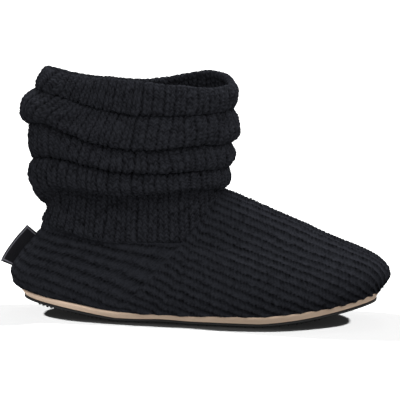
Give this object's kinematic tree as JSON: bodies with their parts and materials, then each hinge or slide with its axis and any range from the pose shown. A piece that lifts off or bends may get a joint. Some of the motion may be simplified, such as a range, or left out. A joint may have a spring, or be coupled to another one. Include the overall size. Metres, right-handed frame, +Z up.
{
  "type": "knitted bootie slipper",
  "caption": "Black ribbed-knit bootie slipper with a slouched, folded shaft, a beige foam midsole and a black nubbed outsole.",
  "frame": {"origin": "on the floor under the middle of the slipper's bounding box", "axes": "+X towards the toe, +Y towards the inner side of the foot, +Z up"},
  "size_m": [0.271, 0.0942, 0.1728],
  "materials": {
    "black_rubber": "matt, moulded with small nubs",
    "beige_foam": "matt, fine-grained foam",
    "lining": "soft brushed jersey over thin foam",
    "black_knit": "chunky rib knit, slightly fuzzy",
    "woven_ribbon": "fine woven ribbon with a slight sheen"
  },
  "bodies": {
    "root": {"outsole": "black_rubber", "midsole": "beige_foam", "insole": "lining", "upper": "black_knit", "shaft": "black_knit", "heel_tab": "woven_ribbon"}
  },
  "joints": []
}
